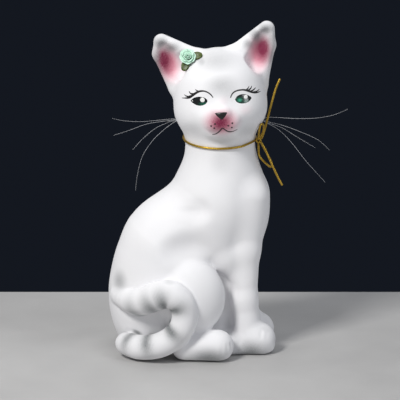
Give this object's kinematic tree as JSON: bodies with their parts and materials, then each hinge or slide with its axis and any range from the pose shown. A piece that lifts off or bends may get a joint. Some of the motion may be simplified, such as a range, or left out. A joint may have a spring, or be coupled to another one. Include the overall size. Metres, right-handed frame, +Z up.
{
  "type": "ceramic cat figurine",
  "caption": "Seated hollow ceramic cat with its head turned, nylon whiskers, a corded bow round its neck and a ribbon rose by one ear.",
  "frame": {"origin": "middle of the flat underside, on the table", "axes": "+Z up, +X the way the seated body faces, -Y the way the head looks"},
  "size_m": [0.2001, 0.1195, 0.2766],
  "materials": {
    "ceramic": "matte",
    "clear_glue": "clear hot glue",
    "nylon": "translucent nylon line",
    "gold_cord": "metallic braid",
    "green_ribbon": "satin",
    "mint_ribbon": "satin"
  },
  "bodies": {
    "root": {"ceramic_body": "ceramic", "glue_left": "clear_glue", "glue_right": "clear_glue", "whisker_left_1": "nylon", "whisker_left_2": "nylon", "whisker_left_3": "nylon", "whisker_left_4": "nylon", "whisker_right_1": "nylon", "whisker_right_2": "nylon", "whisker_right_3": "nylon", "whisker_right_4": "nylon", "neck_cord": "gold_cord", "bow_knot": "gold_cord", "bow_loop_upper": "gold_cord", "bow_loop_lower": "gold_cord", "cord_tail_upper": "gold_cord", "cord_tail_lower": "gold_cord", "rose_glue_pad": "clear_glue", "rose_leaves": "green_ribbon", "rose_bloom": "mint_ribbon"}
  },
  "joints": []
}
